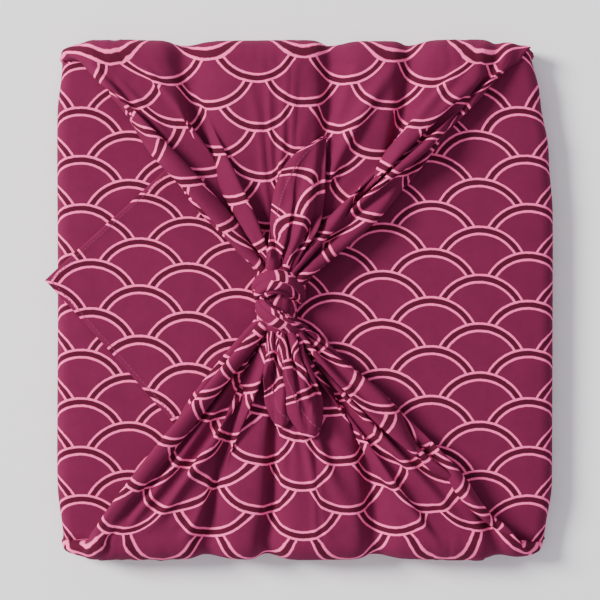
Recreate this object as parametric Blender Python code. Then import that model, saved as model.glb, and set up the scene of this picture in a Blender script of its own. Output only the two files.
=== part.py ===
"""Furoshiki gift wrap: one square cotton cloth folded round a flat parcel space and tied on top."""

import math

import bmesh
import bpy
from mathutils import Vector

# The cloth lies with its diagonals along X and Y. X runs across the parcel, Y along it.
SIDE = 0.750                      # side of the square cloth
CORNER = SIDE / math.sqrt(2.0)    # centre to a corner, along a diagonal
CLOTH = 0.0012                    # thickness of the sheet
LAYER = 0.0018                    # from one layer's middle to the next one's
WIDTH = 0.340                     # parcel, left to right
LENGTH = 0.347                    # parcel, bottom end to top end
BASE = CLOTH / 2.0                # middle of the bottom layer
INNER_FLAP = 0.0158               # middle of the left flap, which lies inside
OUTER_FLAP = INNER_FLAP + LAYER
EAR = OUTER_FLAP + LAYER          # the flaps' ends, folded under the gathered ends
FAN = EAR + LAYER                 # the gathered ends
CROWN = 0.0022                    # rise of the top at the middle
CROWN_RISE = 1.6                  # how steeply the top rises from its edges
SLACK_WAVE = 0.0005               # height of the top's slack waves
SLACK_TURNS = (31.0, 27.0)        # the slack waves, radians a metre along X and Y
SLACK_PHASE = (0.7, -0.4)

END_RADIUS = (FAN - BASE) / 2.0
BEND = LENGTH / 2.0 - END_RADIUS  # where the bottom layer turns up
SIDE_RADIUS = (OUTER_FLAP - BASE) / 2.0
FOLD = WIDTH / 2.0 - SIDE_RADIUS  # where the bottom layer turns up at the sides
FLAP_SLACK = 0.003                # length that the side flaps lose to their crown and slack
FLAP_REACH = CORNER - FOLD - math.pi * SIDE_RADIUS - FLAP_SLACK
FLAP_GAP = 0.005                  # from the middle line to each flap's edge at the parcel's ends
INNER_REACH = 0.318               # the inner flap's corner stops short of the far side
FLAP_SKEW = {-1: 0.010, 1: 0.040}  # how much each flap leans towards the top end
FLAP_NARROW = 0.9                 # share of the parcel's half length where the flaps part
FLAP_DROOP = 0.0009               # how far a flap's point sinks at the far side
DROOP_START = 0.9                 # in side radii from the far side
DROOP_RUN = 0.02
WAVE_START = 0.8                  # share of the half length where the ends' waves begin
CORNER_BULGE = 0.0025             # how far the folded corners of the parcel swell out

FLAT_STATIONS = (-1.0, -0.80, -0.55, -0.28, 0.0, 0.28, 0.55, 0.80, 1.0)
BEND_ANGLES = (34.0, 68.0, 102.0, 134.0, 156.0, 170.0, 180.0)
WALL_STEPS = 5
FLAP_STEPS = 5
MAIN_STEPS = 28
EAR_STEPS = 8
NECK_STEPS = 5
STEEPEST = 1.60                   # most height of a pleat for its half width
TIGHTEST = 0.00095                # smallest radius of a pleat's crest
FAN_END = 0.965                   # the sheet ends inside the knot
EAR_END = 0.70                    # along the fan's edge, where the flap's end runs out
EAR_HEM = EAR_END + 0.018         # where the fan's own folded edge begins behind it
EAR_CLEAR = (0.03, 0.12)          # past the flap's end: where pleats reach the edge, over how far
PLEAT_FULL = 0.88                 # from the edge to the knot, where pleats are at full height
PLEAT_GROWTH = 0.65               # under 1, so that they rise early
LIFT_START = 0.35                 # where the gathered end begins to climb to the knot
LIFT_RUN = 0.5
BOW_REACH = 0.16                  # how soon the folded edges draw in past the bend
EDGE_TURN = 0.10                  # how soon they turn from the side wall's direction
EDGE_FADE = 0.06                  # share of the fan's half width over which pleats die out
EDGE_STEP = 0.02                  # step along a fan's edge that its direction is read over
MERGE = 0.00002                   # points closer than this are one
SLIVER = 0.00001                  # edges shorter than this are dissolved
LEVEL = 0.000001                  # how exactly the flat bottom is level

KNOT_X = -0.0168

# The parcel's outline. at: place along the side, +1 at the top end; pull: how far it draws in.
SIDE_SHAPE = {
    -1: [dict(at=-1.0, pull=0.0030), dict(at=-0.7, pull=0.0), dict(at=0.0, pull=0.0006),
         dict(at=0.7, pull=0.0), dict(at=1.0, pull=0.0025)],
    1: [dict(at=-1.0, pull=0.0040), dict(at=-0.75, pull=0.0004), dict(at=0.35, pull=0.0),
        dict(at=0.62, pull=0.0028), dict(at=0.85, pull=0.0085), dict(at=1.0, pull=0.0140)],
}
# The ends' waves. x: where; out: how far it bulges.
END_SHAPE = {
    1: [dict(x=-0.165, out=-0.0010), dict(x=-0.105, out=0.0000), dict(x=-0.085, out=-0.0012),
        dict(x=-0.040, out=0.0018), dict(x=-0.005, out=0.0006), dict(x=0.018, out=-0.0010),
        dict(x=0.042, out=0.0022), dict(x=0.075, out=0.0012), dict(x=0.110, out=-0.0006),
        dict(x=0.165, out=-0.0018)],
    -1: [dict(x=-0.165, out=0.0006), dict(x=-0.110, out=-0.0006), dict(x=-0.060, out=0.0014),
         dict(x=-0.020, out=0.0008), dict(x=-0.003, out=-0.0018), dict(x=0.024, out=0.0010),
         dict(x=0.070, out=0.0014), dict(x=0.115, out=-0.0008), dict(x=0.165, out=0.0004)],
}
# The pleats of each gathered end. x: where the ridge leaves the end edge; wide: its half width
# there; high: its height near the knot; start: how far from the edge it begins, 0 to 1.
PLEATS = {
    1: [dict(x=-0.118, wide=0.026, high=0.0078, start=0.02),
        dict(x=-0.030, wide=0.040, high=0.0092, start=0.10),
        dict(x=0.034, wide=0.017, high=0.0080, start=0.00),
        dict(x=0.086, wide=0.021, high=0.0088, start=0.05),
        dict(x=0.134, wide=0.019, high=0.0076, start=0.15)],
    -1: [dict(x=-0.122, wide=0.024, high=0.0078, start=0.05),
         dict(x=-0.064, wide=0.019, high=0.0088, start=0.25),
         dict(x=-0.006, wide=0.034, high=0.0070, start=0.12),
         dict(x=0.052, wide=0.016, high=0.0086, start=0.30),
         dict(x=0.094, wide=0.017, high=0.0084, start=0.10),
         dict(x=0.136, wide=0.016, high=0.0070, start=0.10)],
}
# Where each gathered end meets the knot. x, y: middle; half: half its width there; rise: its
# height over the flat; tuck: how far its folded edges draw in round the bend at the parcel's
# corners; bow: how far they draw in just past it.
MOUTHS = {
    1: dict(x=KNOT_X - 0.0030, y=0.0230, half=0.0120, rise=0.0035,
            tuck_left=0.0050, tuck_right=0.0030, bow_left=0.0080, bow_right=0.0015),
    -1: dict(x=KNOT_X + 0.0010, y=-0.0270, half=0.0125, rise=0.0035,
             tuck_left=0.0055, tuck_right=0.0045, bow_left=0.0110, bow_right=0.0050),
}

TUBE_SIDES = 16
RIDGE = 0.15                      # depth of the folds round a bunch, over its radius
RIDGE_TWIST = 0.315               # turn of the folds from one station to the next, radians
CURVE_STEPS = 2                   # stations made from each one in a table
TAIL_STEPS = 6
TAIL_PHASE = 0.6                  # where a tail's folds begin, radians
TAIL_CLOTH = 0.0022               # the tails are bunched, so their sheet is double
SHARP_ANGLE = 50.0                # degrees; sharper folds keep an edge in the shading

# The knot: the bunched ends run through it along Y, and each end's bight lies over the other's.
# Stations along the middle of each bunch.
KNOT_BUNCH = [
    dict(x=KNOT_X - 0.0030, y=-0.0520, z=0.0262, wide=0.0080, high=0.0022),
    dict(x=KNOT_X - 0.0010, y=-0.0360, z=0.0286, wide=0.0122, high=0.0056),
    dict(x=KNOT_X + 0.0000, y=-0.0200, z=0.0298, wide=0.0122, high=0.0076),
    dict(x=KNOT_X - 0.0006, y=-0.0020, z=0.0306, wide=0.0126, high=0.0086),
    dict(x=KNOT_X - 0.0012, y=0.0150, z=0.0302, wide=0.0118, high=0.0078),
    dict(x=KNOT_X - 0.0022, y=0.0310, z=0.0290, wide=0.0120, high=0.0056),
    dict(x=KNOT_X - 0.0046, y=0.0480, z=0.0268, wide=0.0070, high=0.0022),
]
UPPER_BIGHT = [
    dict(x=KNOT_X - 0.0120, y=0.0010, z=0.0262, wide=0.0080, high=0.0034),
    dict(x=KNOT_X - 0.0112, y=0.0050, z=0.0312, wide=0.0116, high=0.0056),
    dict(x=KNOT_X - 0.0058, y=0.0088, z=0.0358, wide=0.0136, high=0.0068),
    dict(x=KNOT_X + 0.0036, y=0.0108, z=0.0366, wide=0.0138, high=0.0070),
    dict(x=KNOT_X + 0.0104, y=0.0110, z=0.0318, wide=0.0114, high=0.0056),
    dict(x=KNOT_X + 0.0118, y=0.0090, z=0.0264, wide=0.0080, high=0.0034),
]
LOWER_BIGHT = [
    dict(x=KNOT_X - 0.0114, y=-0.0190, z=0.0260, wide=0.0080, high=0.0034),
    dict(x=KNOT_X - 0.0102, y=-0.0180, z=0.0306, wide=0.0114, high=0.0054),
    dict(x=KNOT_X - 0.0048, y=-0.0156, z=0.0346, wide=0.0136, high=0.0066),
    dict(x=KNOT_X + 0.0038, y=-0.0142, z=0.0350, wide=0.0132, high=0.0066),
    dict(x=KNOT_X + 0.0104, y=-0.0142, z=0.0306, wide=0.0110, high=0.0054),
    dict(x=KNOT_X + 0.0120, y=-0.0150, z=0.0262, wide=0.0080, high=0.0034),
]
# The two free ends. left, right: their edges; lean: how much further one edge lies; arch: how
# far the middle stands up; wave: depth of the lengthwise folds.
UPPER_TAIL = [
    dict(y=0.0180, left=-0.0210, right=-0.0040, z=0.0335, arch=0.0030, wave=0.0006, lean=0.0000),
    dict(y=0.0340, left=-0.0225, right=0.0010, z=0.0335, arch=0.0040, wave=0.0012, lean=0.0000),
    dict(y=0.0480, left=-0.0240, right=0.0100, z=0.0340, arch=0.0050, wave=0.0018, lean=0.0000),
    dict(y=0.0680, left=-0.0215, right=0.0155, z=0.0335, arch=0.0042, wave=0.0022, lean=0.0060),
    dict(y=0.0860, left=-0.0160, right=0.0160, z=0.0318, arch=0.0030, wave=0.0018, lean=0.0100),
    dict(y=0.0985, left=-0.0060, right=0.0158, z=0.0300, arch=0.0016, wave=0.0010, lean=0.0080),
    dict(y=0.1070, left=0.0050, right=0.0154, z=0.0290, arch=0.0006, wave=0.0004, lean=0.0030),
]
LOWER_TAIL = [
    dict(y=-0.0240, left=-0.0190, right=-0.0020, z=0.0318, arch=0.0030, wave=0.0006, lean=0.0000),
    dict(y=-0.0380, left=-0.0200, right=0.0030, z=0.0318, arch=0.0040, wave=0.0012, lean=0.0000),
    dict(y=-0.0500, left=-0.0215, right=0.0075, z=0.0320, arch=0.0052, wave=0.0016, lean=0.0000),
    dict(y=-0.0680, left=-0.0225, right=0.0125, z=0.0315, arch=0.0050, wave=0.0020, lean=0.0040),
    dict(y=-0.0830, left=-0.0185, right=0.0125, z=0.0300, arch=0.0032, wave=0.0014, lean=0.0050),
    dict(y=-0.0915, left=-0.0090, right=0.0085, z=0.0290, arch=0.0012, wave=0.0006, lean=0.0020),
]


def clear_scene():
    for item in list(bpy.data.objects):
        bpy.data.objects.remove(item)


def smooth(value):
    value = max(0.0, min(1.0, value))
    return value * value * (3.0 - 2.0 * value)


def read_table(rows, place, key, value):
    """Soft interpolation down one column of a table."""
    if value <= rows[0][key]:
        return rows[0][place]
    for low, high in zip(rows, rows[1:]):
        if value <= high[key]:
            part = (value - low[key]) / (high[key] - low[key])
            return low[place] + (high[place] - low[place]) * smooth(part)
    return rows[-1][place]


def crown(x, y):
    """Rise of the parcel's top, fullest at its middle, with slack waves."""
    across = max(0.0, 1.0 - (x / (WIDTH / 2.0)) ** 2)
    along = max(0.0, 1.0 - (y / BEND) ** 2)
    slack_x = math.sin(SLACK_TURNS[0] * x + SLACK_PHASE[0])
    slack_y = math.sin(SLACK_TURNS[1] * y + SLACK_PHASE[1])
    slack = SLACK_WAVE * slack_x * slack_y
    return (CROWN + slack) * min(1.0, CROWN_RISE * across * along)


def fold_line(side, y):
    """Half width of the flat bottom on one side at a place along the parcel."""
    return FOLD - read_table(SIDE_SHAPE[side], "pull", "at", y / BEND)


def end_wave(end, x):
    return read_table(END_SHAPE[end], "out", "x", x)


def rho_wave(end, rho):
    return end_wave(end, rho * fold_line(1 if rho >= 0.0 else -1, end * BEND))


def edge_half(end, rho, turn):
    """Half width at the end bend; turn runs 0 to 1 round the bend."""
    side = 1 if rho >= 0.0 else -1
    tuck = MOUTHS[end]["tuck_right" if side > 0 else "tuck_left"]
    return fold_line(side, end * BEND) - tuck * smooth(turn)


def fan_plan(end, rho, tau):
    """Plan position on a gathered end: rho across it, tau from the end edge to the knot."""
    mouth = MOUTHS[end]
    start_x = rho * edge_half(end, rho, 1.0)
    start_y = end * (BEND + rho_wave(end, rho))
    x = start_x + (mouth["x"] + rho * mouth["half"] - start_x) * tau
    x -= rho * mouth["bow_right" if rho > 0.0 else "bow_left"] * smooth(tau / BOW_REACH) * (1.0 - tau)
    y = start_y + (mouth["y"] - start_y) * tau
    return x, y


def pleat_height(end, rho, tau):
    """Height of the pleats over the flat, growing towards the knot."""
    span = abs(edge_half(end, rho, 1.0))
    narrow = 1.0 - tau + tau * MOUTHS[end]["half"] / span
    height = 0.0
    for row in PLEATS[end]:
        grow = smooth((tau - row["start"]) / (PLEAT_FULL - row["start"])) ** PLEAT_GROWTH
        off = (rho * span - row["x"]) / row["wide"]
        wide = row["wide"] * narrow
        high = min(row["high"] * grow, STEEPEST * wide, 2.0 * wide * wide / (math.pi ** 2 * TIGHTEST))
        height = max(height, high * math.cos(min(1.0, abs(off)) * math.pi / 2.0) ** 2)
    return height


def fan_point(end, rho, tau):
    x, y = fan_plan(end, rho, tau)
    lift = MOUTHS[end]["rise"] * smooth((tau - LIFT_START) / LIFT_RUN)
    edge = smooth((1.0 - abs(rho)) / EDGE_FADE)
    edge += (1.0 - edge) * smooth((tau - EAR_END - EAR_CLEAR[0]) / EAR_CLEAR[1])
    height = pleat_height(end, rho, tau) * edge
    return Vector((x, y, FAN + crown(x, y) + lift + height))


def bend_point(end, rho, turn):
    """The bottom layer round the end of the parcel; turn runs 0 to 1 round the bend."""
    angle = math.pi * turn
    x = rho * edge_half(end, rho, turn)
    y = end * (BEND + rho_wave(end, rho) + END_RADIUS * math.sin(angle))
    z = BASE + END_RADIUS * (1.0 - math.cos(angle))
    return Vector((x, y, z))


def flap_level(side):
    return OUTER_FLAP if side > 0 else INNER_FLAP


def flap_point(side, inward, y):
    """A point on a side flap; inward is its distance from the side fold."""
    x = side * (fold_line(side, y) - inward)
    fade = 1.0 - smooth(abs(y) / BEND)
    place_y = waved(y, x) + FLAP_SKEW[side] * inward * fade
    z = flap_level(side) + crown(x, place_y)
    over = abs(x) - WIDTH / 2.0 + SIDE_RADIUS * DROOP_START
    if over > 0.0 and x * side < 0.0:
        z -= FLAP_DROOP * smooth(over / DROOP_RUN)
    return Vector((x, place_y, z))


def wall_points(low, high, out, depth):
    """Points round a side wall from the bottom layer's edge to the flap's edge."""
    points = []
    for step in range(1, WALL_STEPS):
        angle = math.pi * step / WALL_STEPS
        part = (1.0 - math.cos(angle)) / 2.0
        points.append(low + (high - low) * part + out * (depth * math.sin(angle)))
    return points


def waved(y, x):
    """Carries an end's wave into the flat rows next to it."""
    end = 1 if y > 0.0 else -1
    return y + end * end_wave(end, x) * smooth((abs(y) / BEND - WAVE_START) / (1.0 - WAVE_START))


def flap_reach(side, y):
    """How far a side flap reaches over the top; the two stay apart at the ends."""
    reach = FLAP_REACH - abs(y)
    if abs(y) > FLAP_NARROW * BEND:
        reach = min(reach, fold_line(side, y) - FLAP_GAP)
    return min(reach, INNER_REACH) if side < 0 else reach


def flat_row(place):
    y = place * BEND
    main = []
    for rho in columns():
        x = rho * fold_line(1 if rho >= 0 else -1, y)
        main.append(Vector((x, waved(y, x), BASE)))
    sides = {}
    for side in (-1, 1):
        reach = flap_reach(side, y)
        flap = [flap_point(side, reach * step / FLAP_STEPS, y) for step in range(FLAP_STEPS + 1)]
        low = main[-1] if side > 0 else main[0]
        depth = (flap[0].z - low.z) / 2.0
        sides[side] = (wall_points(low, flap[0], Vector((side, 0.0, 0.0)), depth), flap)
    return main, sides


def ear_reach(end, side, tau):
    start = edge_half(end, side, 1.0) - FLAP_GAP
    return start * max(0.0, 1.0 - tau / EAR_END)


def ear_points(end, side, tau, reach, level):
    points = []
    for step in range(FLAP_STEPS + 1):
        inward = reach * step / FLAP_STEPS
        rho = side * (1.0 - inward / edge_half(end, side, 1.0))
        x, y = fan_plan(end, rho, tau)
        points.append(Vector((x, y, level + crown(x, y))))
    return points


def bend_row(end, turn):
    main = [bend_point(end, rho, turn) for rho in columns()]
    angle = math.pi * turn
    sides = {}
    for side in (-1, 1):
        level = flap_level(side)
        radius = (EAR - level) / 2.0
        edge = edge_half(end, side, turn)
        flap = []
        for index in range(FLAP_STEPS + 1):
            inward = (edge - FLAP_GAP) * index / FLAP_STEPS
            x = side * (edge - inward)
            rho = side * (1.0 - inward / edge)
            y = end * (BEND + rho_wave(end, rho) + radius * math.sin(angle))
            z = level + radius * (1.0 - math.cos(angle)) + crown(x, y)
            flap.append(Vector((x, y, z)))
        low = main[-1] if side > 0 else main[0]
        gap = (flap[0] - low).length
        depth = gap / 2.0 + CORNER_BULGE * math.sin(angle) ** 2
        sides[side] = (wall_points(low, flap[0], Vector((side, 0.0, 0.0)), depth), flap)
    return main, sides


def fan_outward(end, side, tau):
    """Level direction that points out of a gathered end's folded edge."""
    ahead = Vector((*fan_plan(end, side, min(1.0, tau + EDGE_STEP)), 0.0))
    behind = Vector((*fan_plan(end, side, max(0.0, tau - EDGE_STEP)), 0.0))
    along = (ahead - behind).normalized()
    out = Vector((side * abs(along.y), -end * abs(along.x), 0.0))
    blend = smooth(tau / EDGE_TURN)
    return (Vector((side, 0.0, 0.0)) * (1.0 - blend) + out * blend).normalized()


def fan_row(end, tau, hem=False):
    main = [fan_point(end, rho, tau) for rho in columns()]
    sides = {}
    if tau > EAR_END + LEVEL and not hem:
        return main, sides
    for side in (-1, 1):
        reach = 0.0 if hem else ear_reach(end, side, tau)
        flap = ear_points(end, side, tau, reach, EAR)
        low = main[-1] if side > 0 else main[0]
        depth = (low.z - flap[0].z) / 2.0
        out = fan_outward(end, side, tau)
        wall = wall_points(low, flap[0], out, depth)
        if hem:
            flap = ear_points(end, side, EAR_END, 0.0, EAR)
            back = Vector((flap[0].x - low.x, flap[0].y - low.y, 0.0))
            wall = [p + back * (k + 1) / WALL_STEPS for k, p in enumerate(wall)]
        sides[side] = (wall, flap)
    return main, sides


def columns():
    return [-1.0 + 2.0 * step / MAIN_STEPS for step in range(MAIN_STEPS + 1)]


def fan_stations():
    """Distances along a gathered end, closer together where the flap's end runs out."""
    before = [EAR_END * step / EAR_STEPS for step in range(1, EAR_STEPS + 1)]
    after = [EAR_HEM + (FAN_END - EAR_HEM) * step / NECK_STEPS for step in range(1, NECK_STEPS + 1)]
    return before, after


def sheet_rows():
    """All rows of the cloth, from the bottom end's knot to the top end's knot."""
    before, after = fan_stations()
    ends = {}
    for end in (-1, 1):
        rows = [bend_row(end, angle / 180.0) for angle in BEND_ANGLES]
        rows += [fan_row(end, tau) for tau in before]
        rows.append(fan_row(end, EAR_HEM, hem=True))
        rows += [fan_row(end, tau) for tau in after]
        ends[end] = rows
    middle = [flat_row(place) for place in FLAT_STATIONS]
    return list(reversed(ends[-1])) + middle + ends[1]


def build_sheet(name):
    """The folded cloth as one mesh of its middle surface, then given its thickness."""
    mesh = bpy.data.meshes.new(name)
    shape = bmesh.new()
    grid = []
    for main, sides in sheet_rows():
        left = right = [None] * (FLAP_STEPS + WALL_STEPS)
        if sides:
            wall, flap = sides[-1]
            left = list(reversed(wall + flap))
            wall, flap = sides[1]
            right = wall + flap
        line = left + main + right
        grid.append([shape.verts.new(p) if p is not None else None for p in line])
    for low, high in zip(grid, grid[1:]):
        for k in range(len(low) - 1):
            corners = [low[k], low[k + 1], high[k + 1], high[k]]
            if all(corners):
                shape.faces.new(corners)
    bmesh.ops.remove_doubles(shape, verts=shape.verts, dist=MERGE)
    bmesh.ops.dissolve_degenerate(shape, edges=shape.edges, dist=SLIVER)
    bottom = {face for face in shape.faces if all(abs(v.co.z - BASE) < LEVEL for v in face.verts)}
    inner = {v for face in bottom for v in face.verts if all(f in bottom for f in v.link_faces)}
    flat = [face for face in bottom if all(v in inner for v in face.verts)]
    bmesh.ops.dissolve_faces(shape, faces=flat)
    shape.to_mesh(mesh)
    shape.free()
    sheet = bpy.data.objects.new(name, mesh)
    bpy.context.scene.collection.objects.link(sheet)
    thick = sheet.modifiers.new("thickness", "SOLIDIFY")
    thick.thickness = CLOTH
    thick.offset = 0.0
    return sheet


def tube(name, rows, folds, across):
    """A bunched length of cloth along a table of stations, ridged by its folds, closed at both ends."""
    centres = [Vector((row["x"], row["y"], row["z"])) for row in rows]
    mesh = bpy.data.meshes.new(name)
    shape = bmesh.new()
    rings = []
    across = Vector(across)
    for k, row in enumerate(rows):
        ahead = (centres[min(k + 1, len(rows) - 1)] - centres[max(k - 1, 0)]).normalized()
        up = ahead.cross(across).normalized()
        across = up.cross(ahead).normalized()
        if k == 0 and up.z < 0.0:
            up, across = -up, -across
        ring = []
        for step in range(TUBE_SIDES):
            angle = 2.0 * math.pi * step / TUBE_SIDES
            ridge = 1.0 - RIDGE * (0.5 - 0.5 * math.cos(folds * angle + RIDGE_TWIST * k))
            offset = across * (math.cos(angle) * row["wide"]) + up * (math.sin(angle) * row["high"])
            ring.append(shape.verts.new(centres[k] + offset * ridge))
        rings.append(ring)
    for low, high in zip(rings, rings[1:]):
        for k in range(TUBE_SIDES):
            n = (k + 1) % TUBE_SIDES
            shape.faces.new([low[k], low[n], high[n], high[k]])
    shape.faces.new(list(reversed(rings[0])))
    shape.faces.new(rings[-1])
    bmesh.ops.recalc_face_normals(shape, faces=shape.faces)
    shape.to_mesh(mesh)
    shape.free()
    return bpy.data.objects.new(name, mesh)


def through(a, b, c, d, t):
    """A smooth curve from b to c, with a before and d after them."""
    square = (2.0 * a - 5.0 * b + 4.0 * c - d) * t * t
    cube = (3.0 * b - a - 3.0 * c + d) * t ** 3
    return 0.5 * (2.0 * b + (c - a) * t + square + cube)


def curve_rows(rows):
    """More stations between a table's rows, on a smooth curve through them."""
    result = []
    for k in range(len(rows) - 1):
        near = (rows[max(k - 1, 0)], rows[k], rows[k + 1], rows[min(k + 2, len(rows) - 1)])
        for step in range(CURVE_STEPS):
            t = step / CURVE_STEPS
            result.append({key: through(*(row[key] for row in near), t) for key in rows[0]})
    result.append(dict(rows[-1]))
    return result


def tail(name, rows):
    """A free end of the cloth: a leaf-shaped sheet in soft lengthwise folds."""
    mesh = bpy.data.meshes.new(name)
    shape = bmesh.new()
    grid = []
    for row in rows:
        line = []
        for step in range(TAIL_STEPS + 1):
            u = step / TAIL_STEPS
            x = row["left"] + (row["right"] - row["left"]) * u
            z = row["z"] + row["arch"] * math.sin(math.pi * u)
            z += row["wave"] * math.sin(2.0 * math.pi * u + TAIL_PHASE)
            line.append(shape.verts.new((x, row["y"] + row["lean"] * (u - 0.5), z)))
        grid.append(line)
    for low, high in zip(grid, grid[1:]):
        for k in range(TAIL_STEPS):
            shape.faces.new([low[k], low[k + 1], high[k + 1], high[k]])
    shape.to_mesh(mesh)
    shape.free()
    result = bpy.data.objects.new(name, mesh)
    bpy.context.scene.collection.objects.link(result)
    thick = result.modifiers.new("thickness", "SOLIDIFY")
    thick.thickness = TAIL_CLOTH
    thick.offset = 0.0
    return result


def join(target, piece):
    """Fuses a piece of the same cloth into the sheet."""
    if piece.name not in bpy.context.scene.collection.objects:
        bpy.context.scene.collection.objects.link(piece)
    piece.data.shade_smooth()
    piece.hide_render = True
    piece.display_type = "WIRE"
    union = target.modifiers.new("join_" + piece.name, "BOOLEAN")
    union.operation = "UNION"
    union.solver = "MANIFOLD"
    union.object = piece


def cotton():
    """Burgundy printed cotton."""
    material = bpy.data.materials.new("printed_cotton")
    material.use_nodes = True
    shader = material.node_tree.nodes["Principled BSDF"]
    shader.inputs["Base Color"].default_value = (0.270, 0.024, 0.085, 1.0)
    shader.inputs["Roughness"].default_value = 0.85
    shader.inputs["Metallic"].default_value = 0.0
    return material


clear_scene()
sheet = build_sheet("furoshiki_cloth")
sheet.data.materials.append(cotton())
sheet.data.shade_smooth()
sheet.data.set_sharp_from_angle(angle=math.radians(SHARP_ANGLE))
for name, rows, folds, across in (
    ("knot_bunch", KNOT_BUNCH, 6, (1.0, 0.0, 0.0)),
    ("upper_bight", UPPER_BIGHT, 4, (0.0, 1.0, 0.0)),
    ("lower_bight", LOWER_BIGHT, 4, (0.0, 1.0, 0.0)),
):
    join(sheet, tube(name, curve_rows(rows), folds, across))
for name, rows in (("upper_tail", UPPER_TAIL), ("lower_tail", LOWER_TAIL)):
    join(sheet, tail(name, curve_rows(rows)))
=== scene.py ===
import math

import bmesh
import bpy
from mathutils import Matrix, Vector, noise


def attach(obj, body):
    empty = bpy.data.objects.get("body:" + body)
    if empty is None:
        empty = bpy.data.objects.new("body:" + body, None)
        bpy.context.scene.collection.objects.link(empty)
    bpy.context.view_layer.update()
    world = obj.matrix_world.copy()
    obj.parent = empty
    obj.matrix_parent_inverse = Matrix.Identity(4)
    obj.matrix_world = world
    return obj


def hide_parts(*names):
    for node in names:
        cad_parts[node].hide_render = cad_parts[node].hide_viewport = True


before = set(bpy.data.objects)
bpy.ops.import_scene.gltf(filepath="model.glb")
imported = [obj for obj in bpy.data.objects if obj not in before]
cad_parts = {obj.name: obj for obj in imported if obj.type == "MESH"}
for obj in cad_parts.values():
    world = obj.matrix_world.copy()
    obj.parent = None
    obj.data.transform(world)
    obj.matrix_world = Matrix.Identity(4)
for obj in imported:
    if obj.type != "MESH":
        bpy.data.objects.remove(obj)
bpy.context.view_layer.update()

# A square cloth lies with its diagonals along X, across the parcel, and Y, along it. The left flap comes
# over, then the right one. Then the two ends come over with the flaps' ends folded in under them, are
# gathered in pleats and tied. In the names below an end is 1 at the top and -1 at the bottom, and a side is
# 1 at the right and -1 at the left. rho: place across the cloth, -1 to 1 between the side folds; turn: share
# of the way round an end's bend; tau: share of the way from there to the knot.
wrap = dict(
    side=0.750,               # side of the square cloth
    thickness=0.0006,         # medium cotton, a little over real for the mesh
    width=0.340,              # parcel, left to right
    length=0.347,             # parcel, bottom end to top end
    innerFlap=0.0180,         # height of the left flap, which lies inside
    outerFlap=0.0193,         # of the right flap over it
    ear=0.0203,               # of the flaps' ends, folded under the gathered ends
    fan=0.0215,               # of the gathered ends
    crown=0.0022,             # rise of the top at the middle
    crownSpread=1.6,          # above 1, the middle of the rise is flat
    hem=0.006,                # width of the sewn hem
    hemThickness=0.0011,
)
sideFlaps = dict(
    inFrom=0.9, gap=0.005,    # past this share of the length they are folded in and stop short of the middle
    innerReach=0.318,         # the inner flap ends here, hidden by the outer one
    slack=0.003,              # cloth taken up by their swell
    skew={-1: 0.010, 1: 0.040},    # how far their points are drawn up, as a share of the reach
    swell=0.0012, pull=0.0006,     # heights of the shallow hollows and of the soft pull lines
    drawn=0.0016, drawnRun=0.075,  # height of the pull lines round the knot, and how far they run
    softFrom=0.03,                 # all these start this far in from the side
    hemLift=0.0034, hemRun=0.035,  # how far the outer hem stands off in places, and how wide that is
    hemFrom=0.10,
    tipDrop=0.0009, tipRun=0.020,  # the outer point bends down where it passes the rounded side
    tipFrom=0.9,                   # from this share of the side's radius before its edge
)
corner = wrap["side"] / math.sqrt(2.0)
base = wrap["thickness"] / 2.0
endRadius = (wrap["fan"] - base) / 2.0
bend = wrap["length"] / 2.0 - endRadius
sideRadius = (wrap["outerFlap"] - base) / 2.0
fold = wrap["width"] / 2.0 - sideRadius
flapReach = corner - fold - math.pi * sideRadius - sideFlaps["slack"]

# Outline of the parcel. at: place along the side, +1 at the top end; pull: how far it draws in.
sideShape = {
    -1: [dict(at=-1.0, pull=0.0018), dict(at=-0.7, pull=0.0), dict(at=0.0, pull=0.0006),
         dict(at=0.7, pull=0.0), dict(at=1.0, pull=0.0012)],
    1: [dict(at=-1.0, pull=0.0040), dict(at=-0.75, pull=0.0004), dict(at=0.35, pull=0.0),
        dict(at=0.62, pull=0.0028), dict(at=0.85, pull=0.0085), dict(at=1.0, pull=0.0140)],
}
# Waves of the ends. x: where; out: how far it bulges.
endShape = {
    1: [dict(x=-0.165, out=-0.0010), dict(x=-0.105, out=0.0000), dict(x=-0.085, out=-0.0012),
        dict(x=-0.040, out=0.0018), dict(x=-0.005, out=0.0006), dict(x=0.018, out=-0.0010),
        dict(x=0.042, out=0.0022), dict(x=0.075, out=0.0012), dict(x=0.110, out=-0.0006),
        dict(x=0.165, out=-0.0018)],
    -1: [dict(x=-0.165, out=0.0006), dict(x=-0.110, out=-0.0006), dict(x=-0.060, out=0.0014),
         dict(x=-0.020, out=0.0008), dict(x=-0.003, out=-0.0018), dict(x=0.024, out=0.0010),
         dict(x=0.070, out=0.0014), dict(x=0.115, out=-0.0008), dict(x=0.165, out=0.0004)],
}
# Folded edges of the gathered ends, from the end edge to the knot.
fanEdges = {
    1: {-1: [(-0.135, 0.152), (-0.124, 0.134), (-0.108, 0.106),
             (-0.084, 0.078), (-0.059, 0.049), (-0.030, 0.020)],
        1: [(0.134, 0.155), (0.118, 0.137), (0.094, 0.112),
            (0.062, 0.081), (0.030, 0.046), (-0.004, 0.008)]},
    -1: {-1: [(-0.127, -0.148), (-0.114, -0.125), (-0.096, -0.098),
              (-0.076, -0.073), (-0.052, -0.041), (-0.030, -0.011)],
         1: [(0.126, -0.150), (0.104, -0.119), (0.077, -0.089),
             (0.048, -0.059), (0.018, -0.034), (-0.001, -0.020)]},
}
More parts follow.
